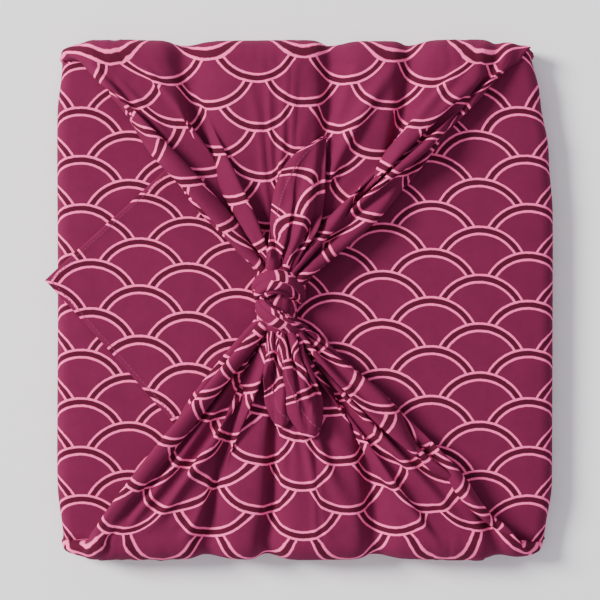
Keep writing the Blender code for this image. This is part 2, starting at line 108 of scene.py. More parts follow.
# The parcel's corners, by end and side. tuck: how far the gathered end's edge draws in over the top half
# of the bend; round: their radius, seen from above; main: how far the outer layer bulges there, most at
# peak; flap: how far the inner flap's corner is pulled.
corners = {
    (1, -1): dict(tuck=0.014, round=0.008, peak=0.42,
                  main=(-0.0082, 0.0000, 0.0010), flap=(0.0010, 0.0000, -0.0030)),
    (1, 1): dict(tuck=0.002, round=0.004, peak=0.48,
                 main=(0.0080, 0.0045, 0.0050), flap=(-0.0010, 0.0105, 0.0000)),
    (-1, -1): dict(tuck=0.022, round=0.009, peak=0.42,
                   main=(-0.0078, 0.0000, 0.0000), flap=(0.0010, 0.0000, -0.0030)),
    (-1, 1): dict(tuck=0.020, round=0.009, peak=0.42,
                  main=(0.0072, 0.0000, 0.0000), flap=(-0.0010, -0.0015, -0.0020)),
}
# How far the corners' shape spreads, as shares of the width and of the bend, and in from the side.
cornerRun = dict(bulge=(0.86, 0.14), bulgeFall=0.56, flapPull=0.035)
waveRun = (0.80, 0.20)        # the ends' waves and the corners' pull reach this far into the flat part
edgeRho = 0.999               # a column this far out is the folded edge itself
# The pleats. x: the ridge where it leaves the end edge; wide: its half width; high: the seed that the
# cloth starts from; till: where the next valley lies; folds: how many small folds it makes at the knot;
# share: how much of the knot's width they take.
pleats = {
    1: [dict(x=-0.122, wide=0.032, high=0.0080, till=-0.084, folds=1, share=0.34),
        dict(x=-0.030, wide=0.050, high=0.0070, till=0.028, folds=2, share=0.26),
        dict(x=0.050, wide=0.018, high=0.0080, till=0.080, folds=1, share=0.15),
        dict(x=0.110, wide=0.024, high=0.0090, till=0.142, folds=1, share=0.16),
        dict(x=0.156, wide=0.012, high=0.0030, till=0.170, folds=1, share=0.09)],
    -1: [dict(x=-0.118, wide=0.030, high=0.0085, till=-0.070, folds=1, share=0.34),
         dict(x=-0.048, wide=0.019, high=0.0085, till=-0.027, folds=1, share=0.20),
         dict(x=0.010, wide=0.030, high=0.0060, till=0.050, folds=2, share=0.16),
         dict(x=0.092, wide=0.022, high=0.0090, till=0.134, folds=1, share=0.18),
         dict(x=0.152, wide=0.014, high=0.0060, till=0.170, folds=1, share=0.12)],
}
# Valleys that run from the end edge into the gathers, with slack cloth standing up between them.
# left, right: half widths, the steep flank at the left; deep: 1 goes right down to the layer below.
valleys = {
    1: [dict(x=-0.085, left=0.008, right=0.016, deep=1.0), dict(x=0.019, left=0.007, right=0.014, deep=0.9),
        dict(x=0.078, left=0.006, right=0.011, deep=0.9), dict(x=0.142, left=0.006, right=0.009, deep=0.7)],
    -1: [dict(x=-0.069, left=0.007, right=0.012, deep=0.9), dict(x=-0.027, left=0.006, right=0.011, deep=1.0),
         dict(x=0.049, left=0.007, right=0.013, deep=1.0), dict(x=0.134, left=0.006, right=0.010, deep=0.8)],
}
knotX = -0.0168               # the knot's middle
# The gathered ends and their cloth simulation.
gather = dict(
    columns=112, bendRows=9, fanRows=56,
    pinned=0.20,              # the cloth is free from this far round the end bend
    scale=10.0,               # simulated at ten times life size, where the solver is steady
    frames=46, drawnBy=30,
    edgeSteps=200,            # for measuring along a folded edge
    quickRise=0.003,          # height of the stand-in
    foldTallest=0.0130,       # the small folds at the knot
    foldSteepest=0.46,        # and their height as a share of their width on the flat cloth
    rise=0.0050,              # how far the folded edges climb to the knot, and over which shares
    riseRun=(0.55, 0.45),
    mouthRise=0.7,            # share of that rise where the cloth enters the knot
    slack=0.0090,             # how high the cloth stands between the valleys
    overhang=0.0040,          # how far the ridges lean over them
    leanAt=1.4,               # half widths from the valley to the leaning ridge
    sink=0.9,                 # share of the settled height that a full valley takes away
    beside=0.10,              # the slack fades over this share of the width, beside a folded edge
)
# Where the slack, the valleys and the lean grow or fade, as shares of the bend or of the way to the knot:
# start, run.
slackOnBend, slackFades = (0.30, 0.70), (0.20, 0.65)
sinkGrows, sinkFades = (0.00, 0.15), (0.70, 0.20)
leanGrows, leanFades = (0.00, 0.20), (0.55, 0.30)
# The finished mesh.
mesh = dict(
    mainSteps=160, fanRows=80, bendRows=16, flatRows=52, flapSteps=24, wallSteps=8,
    evenShare=0.6,            # 1 spaces the columns evenly, less brings them closer at the folded edges
    earEnd=0.70,              # the flaps' folded ends run out at this share of the way to the knot
)


def ease(value):
    value = max(0.0, min(1.0, value))
    return value * value * (3.0 - 2.0 * value)


def grown(part, run):
    # 0 up to the start of the run, 1 past its length
    return ease((part - run[0]) / run[1])


def runningLength(points):
    far = [0.0]
    for a, b in zip(points, points[1:]):
        far.append(far[-1] + (b - a).length)
    return far


def readTable(rows, column, key, value):
    # eased between the table's rows
    if value <= rows[0][key]:
        return rows[0][column]
    for low, high in zip(rows, rows[1:]):
        if value <= high[key]:
            part = (value - low[key]) / (high[key] - low[key])
            return low[column] + (high[column] - low[column]) * ease(part)
    return rows[-1][column]


def fourAbout(rows, k):
    # the four rows about the gap after row k
    return [rows[max(0, min(len(rows) - 1, k + d))] for d in (-1, 0, 1, 2)]


def smoothThrough(four, t):
    # a smooth curve through four points, read between the middle two
    p0, p1, p2, p3 = four
    return 0.5 * (2.0 * p1 + (p2 - p0) * t + (2.0 * p0 - 5.0 * p1 + 4.0 * p2 - p3) * t * t
                  + (3.0 * p1 - p0 - 3.0 * p2 + p3) * t ** 3)


def splinePoint(points, part):
    # a smooth curve through the points, read at a share of its length
    place = max(0.0, min(1.0, part)) * (len(points) - 1)
    k = min(int(place), len(points) - 2)
    return smoothThrough(fourAbout(points, k), place - k)


def crownAt(x, y):
    # how far the layers rise over the parcel's middle
    across = max(0.0, 1.0 - (x / (wrap["width"] / 2.0)) ** 2)
    along = max(0.0, 1.0 - (y / bend) ** 2)
    return wrap["crown"] * min(1.0, wrap["crownSpread"] * across * along)


def foldLine(side, y):
    return fold - readTable(sideShape[side], "pull", "at", y / bend)


def endWave(end, x):
    return readTable(endShape[end], "out", "x", x)


def endHalf(end, rho):
    # half the parcel's width at an end
    return foldLine(1 if rho >= 0.0 else -1, end * bend)


def edgeHalf(end, side, turn):
    # the same, with the gathered end's edge drawn in
    return endHalf(end, side) - corners[end, side]["tuck"] * ease(2.0 * turn - 1.0)


def mainBulge(end, side, turn):
    peak = corners[end, side]["peak"]
    run = peak if turn < peak else cornerRun["bulgeFall"]
    return Vector(corners[end, side]["main"]) * ease(1.0 - abs(turn - peak) / run)


def flapPull(end, side, turn, inward):
    fade = ease(2.0 - 2.0 * turn) * ease(1.0 - inward / cornerRun["flapPull"])
    return Vector(corners[end, side]["flap"]) * fade


def bendPoint(end, rho, turn):
    # the cloth round the end of the parcel; turn runs 0 to 1 from the bottom to the top
    angle = math.pi * turn
    side = 1 if rho >= 0.0 else -1
    x = rho * edgeHalf(end, side, turn)
    radius = corners[end, side]["round"]
    near = max(0.0, 1.0 - (1.0 - abs(rho)) * fold / radius)
    back = radius * (1.0 - math.sqrt(1.0 - min(1.0, near) ** 2))
    out = bend + endWave(end, x) + (endRadius - back) * math.sin(angle)
    point = Vector((x, end * out, base + endRadius * (1.0 - math.cos(angle))))
    return point + mainBulge(end, side, turn) * grown(abs(rho), cornerRun["bulge"])


def measuredEdge(end, side):
    # close points along a folded edge, and how far along it each lies
    start = bendPoint(end, side, 1.0)
    points = [Vector((start.x, start.y))] + [Vector(place) for place in fanEdges[end][side]]
    steps = gather["edgeSteps"]
    dense = [splinePoint(points, k / steps) for k in range(steps + 1)]
    return dense, runningLength(dense)


edgeCurves = {(end, side): measuredEdge(end, side) for end in (1, -1) for side in (-1, 1)}


def edgePlan(end, side, tau):
    # a folded edge, seen from above
    dense, far = edgeCurves[end, side]
    want = tau * far[-1]
    for k in range(len(far) - 1):
        if far[k + 1] >= want:
            part = (want - far[k]) / max(far[k + 1] - far[k], 1e-9)
            return dense[k].lerp(dense[k + 1], part)
    return dense[-1].copy()


def fanPlan(end, rho, tau):
    # a point of the gathered end, seen from above
    left, right = edgePlan(end, -1, tau), edgePlan(end, 1, tau)
    return left.lerp(right, (rho + 1.0) / 2.0)


def fanLength(end, rho):
    # cloth from the end edge to the knot along one column
    if abs(rho) > edgeRho:
        return edgeCurves[end, 1 if rho > 0 else -1][1][-1]
    start = bendPoint(end, rho, 1.0)
    return (fanPlan(end, rho, 1.0) - Vector((start.x, start.y))).length


def mouthPoint(end, rho):
    # where a column ends in the knot: the small folds stand side by side
    x = rho * fold
    first, done = -fold, 0.0
    for row in pleats[end]:
        last = min(row["till"], fold) if row is not pleats[end][-1] else fold
        if x <= last + 1e-9:
            place = (x - first) / (last - first)
            tall = min(gather["foldTallest"], gather["foldSteepest"] * (last - first) / row["folds"])
            up = 0.5 - 0.5 * math.cos(2.0 * math.pi * place * row["folds"])
            plan = fanPlan(end, 2.0 * (done + place * row["share"]) - 1.0, 1.0)
            return Vector((plan.x, plan.y, wrap["fan"] + gather["rise"] * gather["mouthRise"] + tall * up))
        first = last
        done += row["share"]


def edgePoint(end, side, tau):
    plan = edgePlan(end, side, tau)
    lift = gather["rise"] * grown(tau, gather["riseRun"])
    return Vector((plan.x, plan.y, wrap["fan"] + crownAt(plan.x, plan.y) + lift))


def seedHeight(end, x, tau):
    # the low ridges that tell the pleats where to rise
    height = 0.0
    for row in pleats[end]:
        height += row["high"] * math.exp(-2.0 * ((x - row["x"]) / row["wide"]) ** 2)
    return height * tau


# What the gathered ends lie on while they settle; taken away afterwards.
restingPlace = dict(
    narrower=0.012, shorter=0.004,     # than the parcel
    gap=0.001,                         # below the cloth, and above the floor
    bevel=0.008, bevelSteps=3,
    cuts=9, cutPitch=0.017,            # cuts on each side of the middle, so that it can be crowned
    topShare=0.6,                      # points above this share of its height belong to the top
    skin=0.0008, friction=5.0,
)


def parcelSolid(scale):
    rest = restingPlace
    shape = bmesh.new()
    bmesh.ops.create_cube(shape, size=1.0)
    size = Vector((wrap["width"] - rest["narrower"], wrap["length"] - rest["shorter"],
                   wrap["ear"] - rest["gap"]))
    bmesh.ops.scale(shape, vec=size, verts=shape.verts)
    bmesh.ops.translate(shape, vec=(0.0, 0.0, size.z / 2.0 + rest["gap"]), verts=shape.verts)
    bmesh.ops.bevel(shape, geom=shape.edges[:], offset=rest["bevel"], segments=rest["bevelSteps"],
                    profile=0.5, affect="EDGES", material=-1)
    for normal in (Vector((1.0, 0.0, 0.0)), Vector((0.0, 1.0, 0.0))):
        for step in range(-rest["cuts"], rest["cuts"] + 1):
            bmesh.ops.bisect_plane(shape, geom=shape.verts[:] + shape.edges[:] + shape.faces[:],
                                   plane_co=normal * (step * rest["cutPitch"]), plane_no=normal)
    for vert in shape.verts:
        if vert.co.z > size.z * rest["topShare"]:
            vert.co.z += crownAt(vert.co.x, vert.co.y)
    bmesh.ops.scale(shape, vec=(scale, scale, scale), verts=shape.verts)
    bmesh.ops.triangulate(shape, faces=shape.faces)

    # The operators leave the faces in an order of their own each run, and the cloth settles by that order.
    count = len(shape.verts)

    def ordered(face):
        a, b, c = sorted(vert.index for vert in face.verts)
        return (a * count + b) * count + c

    shape.verts.index_update()
    shape.faces.sort(key=ordered)
    data = bpy.data.meshes.new("settleOn")
    shape.to_mesh(data)
    shape.free()
    solid = bpy.data.objects.new("settleOn", data)
    bpy.context.scene.collection.objects.link(solid)
    solid.modifiers.new("settleOn", "COLLISION")
    solid.collision.thickness_outer = rest["skin"] * scale
    solid.collision.cloth_friction = rest["friction"]
    return solid


def simColumns():
    return [-1.0 + 2.0 * k / gather["columns"] for k in range(gather["columns"] + 1)]


def simRows():
    first, steps = gather["pinned"], gather["bendRows"]
    rows = [("bend", first + (1.0 - first) * k / steps) for k in range(steps)]
    return rows + [("fan", k / gather["fanRows"]) for k in range(gather["fanRows"] + 1)]


def startPoint(end, rho, row):
    # the cloth before it is drawn in: round the end and flat over the parcel, at its full width
    kind, part = row
    turn = part if kind == "bend" else 1.0
    x = rho * endHalf(end, rho)
    y = end * (bend + endRadius * math.sin(math.pi * turn))
    z = base + endRadius * (1.0 - math.cos(math.pi * turn))
    if kind == "bend":
        return Vector((x, y, z))
    y -= end * part * fanLength(end, rho)
    return Vector((x, y, z + crownAt(x, y) + seedHeight(end, x, part)))


def drawnPoint(end, rho, row):
    # where the pinned rim of a gathered end is drawn to, or None inside it
    kind, part = row
    if kind == "bend":
        pinned = part <= gather["pinned"] or abs(rho) > edgeRho
        return bendPoint(end, rho, part) if pinned else None
    if abs(rho) > edgeRho and part < 1.0:
        return edgePoint(end, 1 if rho > 0 else -1, part)
    if part >= 1.0:
        return mouthPoint(end, rho)
    return None


weld = 0.00002                # points closer than this are joined


def clothGrid(across, along, place, flat=None):
    # a flat grid whose points are then put where the cloth lies; flat gives their place on the uncut cloth
    shape = bmesh.new()
    bmesh.ops.create_grid(shape, x_segments=across, y_segments=along, size=0.5)
    index = {vert: (round((vert.co.x + 0.5) * across), round((vert.co.y + 0.5) * along))
             for vert in shape.verts}
    if flat is not None:
        uvLayer = shape.loops.layers.uv.new("cloth")
        for face in shape.faces:
            for loop in face.loops:
                loop[uvLayer].uv = flat(*index[loop.vert])
    for vert in shape.verts:
        vert.co = place(*index[vert])
    if flat is not None:
        bmesh.ops.remove_doubles(shape, verts=shape.verts, dist=weld)
        bmesh.ops.dissolve_degenerate(shape, edges=shape.edges, dist=weld / 2.0)
        bmesh.ops.recalc_face_normals(shape, faces=shape.faces)
    return shape


def finished(name, shape):
    data = bpy.data.meshes.new(name)
    shape.to_mesh(data)
    shape.free()
    data.shade_smooth()
    piece = bpy.data.objects.new(name, data)
    bpy.context.scene.collection.objects.link(piece)
    return piece


# How the cotton behaves at ten times life size.
softCotton = dict(
    quality=7, mass=0.3,
    tension_stiffness=40.0, compression_stiffness=40.0, shear_stiffness=15.0, bending_stiffness=0.4,
    tension_damping=5.0, compression_damping=5.0, shear_damping=5.0, bending_damping=0.5,
    air_damping=2.0,
)
clothContact = dict(others=0.0010, itself=0.0012, quality=3)


def startGather(end, scale):
    rhos, rows = simColumns(), simRows()

    def place(i, j):
        return startPoint(end, rhos[i], rows[j]) * scale

    name = "gather" + ("Top" if end > 0 else "Bottom")
    cloth = finished(name, clothGrid(len(rhos) - 1, len(rows) - 1, place))
    cloth.shape_key_add(name="Basis")
    drawn = cloth.shape_key_add(name="drawn")
    pinned = cloth.vertex_groups.new(name="pinned")
    wide = len(rhos)
    for j, row in enumerate(rows):
        for i, rho in enumerate(rhos):
            point = drawnPoint(end, rho, row)
            if point is not None:
                drawn.data[j * wide + i].co = point * scale
                pinned.add([j * wide + i], 1.0, "REPLACE")
    drawn.value = 0.0
    drawn.keyframe_insert("value", frame=1)
    drawn.value = 1.0
    drawn.keyframe_insert("value", frame=gather["drawnBy"])
    for curve in cloth.data.shape_keys.animation_data.action.fcurves:
        for key in curve.keyframe_points:
            key.interpolation = "LINEAR"
    cotton = cloth.modifiers.new("settle", "CLOTH")
    for setting, value in softCotton.items():
        setattr(cotton.settings, setting, value)
    cotton.settings.vertex_group_mass = "pinned"
    contact = cotton.collision_settings
    contact.use_collision = True
    contact.distance_min = clothContact["others"] * scale
    contact.collision_quality = clothContact["quality"]
    contact.use_self_collision = True
    contact.self_distance_min = clothContact["itself"] * scale
    cotton.point_cache.frame_end = gather["frames"]
    return cloth


def settleOne(end):
    # one gathered end, drawn in to the knot and settled: a grid of points, row by row
    wide, scale, scene = gather["columns"] + 1, gather["scale"], bpy.context.scene
    scene.frame_set(1)
    solid, cloth = parcelSolid(scale), startGather(end, scale)
    for step in range(1, gather["frames"] + 1):
        scene.frame_set(step)
    settled = cloth.evaluated_get(bpy.context.evaluated_depsgraph_get()).to_mesh()
    points = [vert.co / scale for vert in settled.vertices]
    for item in (cloth, solid):
        data = item.data
        bpy.data.objects.remove(item)
        bpy.data.meshes.remove(data)
    scene.frame_set(1)
    return [points[k:k + wide] for k in range(0, len(points), wide)]


def settleGathers():
    # One end after the other: two cloths at once share the solid they lie on, and it comes out
    # differently from run to run.
    bpy.context.scene.frame_start = 1
    bpy.context.scene.frame_end = gather["frames"]
    return {end: settleOne(end) for end in (1, -1)}


def calmed(grid, passes):
    # evens out the solver's small jitter, with the rim kept
    for _ in range(passes):
        new = [list(row) for row in grid]
        for j in range(1, len(grid) - 1):
            for i in range(1, len(grid[0]) - 1):
                near = (grid[j - 1][i] + grid[j + 1][i] + grid[j][i - 1] + grid[j][i + 1]) / 4.0
                new[j][i] = grid[j][i].lerp(near, 0.5)
        grid = new
    return grid


def readGrid(grid, u, v):
    # smooth reading between the settled points
    i, j = min(int(u), len(grid[0]) - 2), min(int(v), len(grid) - 2)
    across = [smoothThrough(fourAbout(row, i), u - i) for row in fourAbout(grid, j)]
    return smoothThrough(across, v - j)


print("stage: settling the gathered ends")
settled = {end: calmed(grid, 1) for end, grid in settleGathers().items()}


def gatheredPoint(end, rho, kind, part):
    u = (rho + 1.0) / 2.0 * gather["columns"]
    if kind == "bend":
        v = (part - gather["pinned"]) / (1.0 - gather["pinned"]) * gather["bendRows"]
    else:
        v = gather["bendRows"] + part * gather["fanRows"]
    return readGrid(settled[end], u, v)


def valleyAt(end, x):
    # 0 on the ridges, up to 1 in the deepest valley
    deepest = 0.0
    for row in valleys[end]:
        wide = row["left"] if x < row["x"] else row["right"]
        deepest = max(deepest, row["deep"] * math.exp(-((x - row["x"]) / wide) ** 2))
    return deepest


def overhangAt(end, x):
    # the ridge at the left of each valley leans over it
    lean = 0.0
    for row in valleys[end]:
        lean += row["deep"] * math.exp(-((x - row["x"] + gather["leanAt"] * row["left"]) / row["left"]) ** 2)
    return gather["overhang"] * lean


def slackPoint(end, rho, kind, part):
    # the settled cloth, with its slack standing up between the valleys
    point = gatheredPoint(end, rho, kind, part)
    valley = valleyAt(end, rho * fold)
    slack = gather["slack"] * (1.0 - valley) * ease((1.0 - abs(rho)) / gather["beside"])
    if kind == "bend":
        angle = math.pi * part
        away = Vector((0.0, end * math.sin(angle), -math.cos(angle)))
        return point + away * (slack * grown(part, slackOnBend))
    low = wrap["fan"] + crownAt(point.x, point.y)
    sunk = valley * grown(part, sinkGrows) * (1.0 - grown(part, sinkFades)) * max(0.0, point.z - low)
    over = overhangAt(end, rho * fold) * grown(part, leanGrows) * (1.0 - grown(part, leanFades))
    return point + Vector((over, 0.0, slack * (1.0 - grown(part, slackFades)) - gather["sink"] * sunk))


def columnAt(share):
    # columns lie closer together towards the folded edges
    even = mesh["evenShare"]
    return share * even + (1.0 - even) * math.sin(0.5 * math.pi * share)


def endRows(end):
    rows = [("bend", end, k / mesh["bendRows"]) for k in range(1, mesh["bendRows"])]
    return rows + [("fan", end, k / mesh["fanRows"]) for k in range(mesh["fanRows"] + 1)]


def meshRows():
    # the cloth's rows from the bottom end's knot, along the underside, to the top end's knot
    flat = [("flat", 0, -1.0 + 2.0 * k / mesh["flatRows"]) for k in range(mesh["flatRows"] + 1)]
    return endRows(-1)[::-1] + flat + endRows(1)


def mainPoint(row, rho):
    kind, end, part = row
    if kind == "flat":
        y = part * bend
        x = rho * foldLine(1 if rho >= 0.0 else -1, y)
        return Vector((x, waved(y, x), base))
    if kind == "bend":
        free = part > gather["pinned"]
        return slackPoint(end, rho, kind, part) if free else bendPoint(end, rho, part)
    return slackPoint(end, rho, kind, part)


def waved(y, x):
    # carries an end's wave into the flat rows next to it
    end = 1 if y > 0.0 else -1
    return y + end * endWave(end, x) * grown(abs(y) / bend, waveRun)


def flapLevel(side):
    return wrap["outerFlap"] if side > 0 else wrap["innerFlap"]


def reachAt(side, y):
    reach = flapReach - abs(y)
    if abs(y) > sideFlaps["inFrom"] * bend:
        reach = min(reach, foldLine(side, y) - sideFlaps["gap"])
    return min(reach, sideFlaps["innerReach"]) if side < 0 else reach


def flapSlackness(x, y):
    # Shallow hollows and soft pull lines of cloth that lies on nothing firm. The noise is read in waves
    # for each metre, or for each radian round the knot.
    swell = noise.noise(Vector((x * 14.0, y * 11.0, 3.7))) * sideFlaps["swell"]
    pull = noise.noise(Vector((x * 30.0 + y * 18.0, y * 9.0 - x * 7.0, 8.1))) * sideFlaps["pull"]
    away = Vector((x - knotX, y))
    turned = math.atan2(away.y, abs(away.x))
    drawn = noise.noise(Vector((turned * 7.0, away.length * 6.0, 1.0 if away.x > 0.0 else 4.0)))
    return swell + pull + sideFlaps["drawn"] * drawn * math.exp(-away.length / sideFlaps["drawnRun"])


def hemLift(y):
    # the free hem of the outer flap stands off a little here and there
    return sideFlaps["hemLift"] * max(0.0, noise.noise(Vector((y * 22.0, 5.3, 1.1))) + 0.12)


def flapSteps(reach):
    # places across a flap; the last three steps make its hem
    steps, hem = mesh["flapSteps"], wrap["hem"] * math.sqrt(2.0)
    if reach < 3.0 * hem:
        return [reach * k / steps for k in range(steps + 1)]
    plain = [(reach - hem) * k / (steps - 3) for k in range(steps - 2)]
    return plain + [reach - hem * 0.9, reach - hem * 0.4, reach]


def flapPoint(side, inward, y, reach):
    x = side * (foldLine(side, y) - inward)
    fade = 1.0 - ease(abs(y) / bend)
    placeY = waved(y, x) + sideFlaps["skew"][side] * inward * fade
    z = flapLevel(side) + crownAt(x, placeY)
    z += flapSlackness(x, placeY) * ease(inward / sideFlaps["softFrom"])
    if side > 0:
        near = ease(1.0 - (reach - inward) / sideFlaps["hemRun"])
        z += hemLift(y) * near * ease(inward / sideFlaps["hemFrom"])
    over = abs(x) - wrap["width"] / 2.0 + sideRadius * sideFlaps["tipFrom"]
    if over > 0.0 and x * side < 0.0:
        z -= sideFlaps["tipDrop"] * ease(over / sideFlaps["tipRun"])
    pull = flapPull(1 if y > 0.0 else -1, side, 0.0, inward)
    return Vector((x, placeY, z)) + pull * grown(abs(y) / bend, waveRun)


def earPoint(end, side, tau, inward):
    # on a flap's folded end, under the gathered end
    half = edgeHalf(end, side, 1.0)
    plan = fanPlan(end, side * (1.0 - inward / half), tau)
    return Vector((plan.x, plan.y, wrap["ear"] + crownAt(plan.x, plan.y)))


def outward(end, side, tau):
    # level and square to the folded edge, and straight out at the parcel's side
    step, turned = 0.02, 0.10     # to measure the edge's direction over, and to turn within
    ahead = edgePlan(end, side, min(1.0, tau + step))
    behind = edgePlan(end, side, max(0.0, tau - step))
    along = (ahead - behind).normalized()
    out = Vector((side * abs(along.y), -end * abs(along.x), 0.0))
    mix = ease(tau / turned)
    return (Vector((side, 0.0, 0.0)) * (1.0 - mix) + out * mix).normalized()


# The side wall where it turns in at a corner.
cornerWall = dict(
    wave=0.5,                      # the flaps' wave, as a share of the end's
    depth=0.5, depthMore=0.25,     # of the wall's round, as shares of its height, and halfway round
    swing=1.1, back=0.2,           # how soon it swings in, and how far it leans back from the end
    offFloor=2.5,                  # least height, in thicknesses of the cloth
)


def flatFlap(side, low, part):
    y = part * bend
    reach = reachAt(side, y)
    line = [flapPoint(side, inward, y, reach) for inward in flapSteps(reach)]
    return line, Vector((side, 0.0, 0.0)), (line[0].z - low.z) / 2.0


def bendFlap(end, side, low, part):
    # the side wall's round turns inward at the corner, as a pocket, and out again as the fan's edge
    steps, level = mesh["flapSteps"], flapLevel(side)
    radius = (wrap["ear"] - level) / 2.0
    half = edgeHalf(end, side, part)
    angle = math.pi * part
    line = []
    for k in range(steps + 1):
        inward = (half - sideFlaps["gap"]) * k / steps
        x = side * (half - inward)
        y = end * (bend + endWave(end, x) * cornerWall["wave"] + radius * math.sin(angle))
        point = Vector((x, y, level + radius * (1.0 - math.cos(angle)) + crownAt(x, y)))
        line.append(point + flapPull(end, side, part, inward))
    swing = 0.5 * math.pi * ease(cornerWall["swing"] * math.sin(angle))
    out = Vector((side * math.cos(swing), -cornerWall["back"] * end * math.sin(swing), -math.sin(swing)))
    deep = cornerWall["depth"] + cornerWall["depthMore"] * math.sin(angle)
    return line, out, (line[0] - low).length * deep


def fanFlap(end, side, low, part):
    steps = mesh["flapSteps"]
    reach = (edgeHalf(end, side, 1.0) - sideFlaps["gap"]) * max(0.0, 1.0 - part / mesh["earEnd"])
    line = [earPoint(end, side, part, reach * k / steps) for k in range(steps + 1)]
    return line, outward(end, side, part), (low.z - line[0].z) / 2.0


def flapRow(row, side, low):
    # the side wall and the flap beyond one side of a row: lists of points from the wall to the hem
    kind, end, part = row
    walls = mesh["wallSteps"]
    if kind == "flat":
        line, out, depth = flatFlap(side, low, part)
    elif kind == "bend":
        line, out, depth = bendFlap(end, side, low, part)
    elif part < mesh["earEnd"]:
        line, out, depth = fanFlap(end, side, low, part)
    else:
        return [low] * (walls - 1), [low] * (mesh["flapSteps"] + 1)
    lowest = cornerWall["offFloor"] * wrap["thickness"] if kind == "bend" else 0.0
    wall = []
    for k in range(1, walls):
        angle = math.pi * k / walls
        point = low.lerp(line[0], (1.0 - math.cos(angle)) / 2.0) + out * (depth * math.sin(angle))
        wall.append(Vector((point.x, point.y, max(point.z, lowest))))
    return wall, line


def clothPlace(row, k, rho):
    # the same point on the flat cloth, in metres from its middle
    kind, end, part = row
    steps, walls = mesh["flapSteps"], mesh["wallSteps"]
    if kind == "flat":
        v = part * bend
    elif kind == "bend":
        v = end * (bend + math.pi * endRadius * part)
    else:
        v = end * (bend + math.pi * endRadius + part * fanLength(end, rho))
    if k == 0:
        return rho * fold, v
    side = 1 if rho > 0 else -1
    wallLength = math.pi * sideRadius
    if k < walls:
        return side * (fold + wallLength * k / walls), v
    step = k - walls
    if kind == "flat":
        return side * (fold + wallLength + flapSteps(reachAt(side, part * bend))[step]), v
    reach = endHalf(end, side) - sideFlaps["gap"]
    if kind == "fan":
        reach *= max(0.0, 1.0 - part / mesh["earEnd"])
    return side * (fold + wallLength + reach * step / steps), v


def thickened(piece):
    # one layer of cotton, and two more along the sewn hems
    hemmed = piece.vertex_groups.new(name="hem")
    places = piece.data.uv_layers["cloth"].data
    marked = set()
    for loop in piece.data.loops:
        u, v = places[loop.index].uv
        if (corner - abs(u) - abs(v)) / math.sqrt(2.0) < wrap["hem"]:
            marked.add(loop.vertex_index)
    hemmed.add(list(marked), 1.0, "REPLACE")
    thick = piece.modifiers.new("thickness", "SOLIDIFY")
    thick.thickness = wrap["hemThickness"]
    thick.vertex_group = "hem"
    thick.thickness_vertex_group = wrap["thickness"] / wrap["hemThickness"]
    thick.offset = 0.0
    return piece


def buildWrap():
    rows = meshRows()
    main = mesh["mainSteps"]
    sides = range(1, mesh["wallSteps"] + mesh["flapSteps"] + 1)
    rhos = [columnAt(-1.0 + 2.0 * k / main) for k in range(main + 1)]
    lines, places = [], []
    for row in rows:
        middle = [mainPoint(row, rho) for rho in rhos]
        leftWall, leftFlap = flapRow(row, -1, middle[0])
        rightWall, rightFlap = flapRow(row, 1, middle[-1])
        lines.append(leftFlap[::-1] + leftWall[::-1] + middle + rightWall + rightFlap)
        flat = [clothPlace(row, k, -1.0) for k in reversed(sides)]
        flat += [clothPlace(row, 0, rho) for rho in rhos]
        flat += [clothPlace(row, k, 1.0) for k in sides]
        places.append(flat)
    shape = clothGrid(len(lines[0]) - 1, len(lines) - 1,
                      lambda i, j: lines[j][i], lambda i, j: places[j][i])
    # the flat underside needs no more than one face
    bottom = {face for face in shape.faces if all(abs(v.co.z - base) < 1e-6 for v in face.verts)}
    inner = {v for face in bottom for v in face.verts if all(f in bottom for f in v.link_faces)}
    bmesh.ops.dissolve_faces(shape, faces=[f for f in bottom if all(v in inner for v in f.verts)])
    bmesh.ops.recalc_face_normals(shape, faces=shape.faces)
    return thickened(finished("wrappedCloth", shape))


# Stations along the middle of each bunch of the knot: each end's bunch turns over the other's legs.
knotUpper = [
    dict(x=-0.0122, y=0.0020, z=0.0200, wide=0.0076, high=0.0040),
    dict(x=-0.0124, y=0.0088, z=0.0304, wide=0.0116, high=0.0066),
    dict(x=-0.0050, y=0.0142, z=0.0366, wide=0.0130, high=0.0078),
    dict(x=0.0042, y=0.0136, z=0.0364, wide=0.0128, high=0.0078),
    dict(x=0.0116, y=0.0080, z=0.0302, wide=0.0110, high=0.0066),
    dict(x=0.0130, y=0.0020, z=0.0206, wide=0.0076, high=0.0040),
]
knotLower = [
    dict(x=-0.0104, y=0.0010, z=0.0236, wide=0.0070, high=0.0036),
    dict(x=-0.0104, y=-0.0070, z=0.0318, wide=0.0112, high=0.0062),
    dict(x=-0.0042, y=-0.0138, z=0.0362, wide=0.0130, high=0.0076),
    dict(x=0.0044, y=-0.0186, z=0.0348, wide=0.0126, high=0.0074),
    dict(x=0.0114, y=-0.0220, z=0.0280, wide=0.0102, high=0.0062),
    dict(x=0.0126, y=-0.0240, z=0.0206, wide=0.0072, high=0.0038),
]
knotSide = [
    dict(x=-0.0096, y=0.0200, z=0.0250, wide=0.0036, high=0.0032),
    dict(x=-0.0128, y=0.0130, z=0.0320, wide=0.0048, high=0.0042),
    dict(x=-0.0128, y=0.0050, z=0.0332, wide=0.0046, high=0.0042),
    dict(x=-0.0110, y=-0.0030, z=0.0296, wide=0.0038, high=0.0032),
]
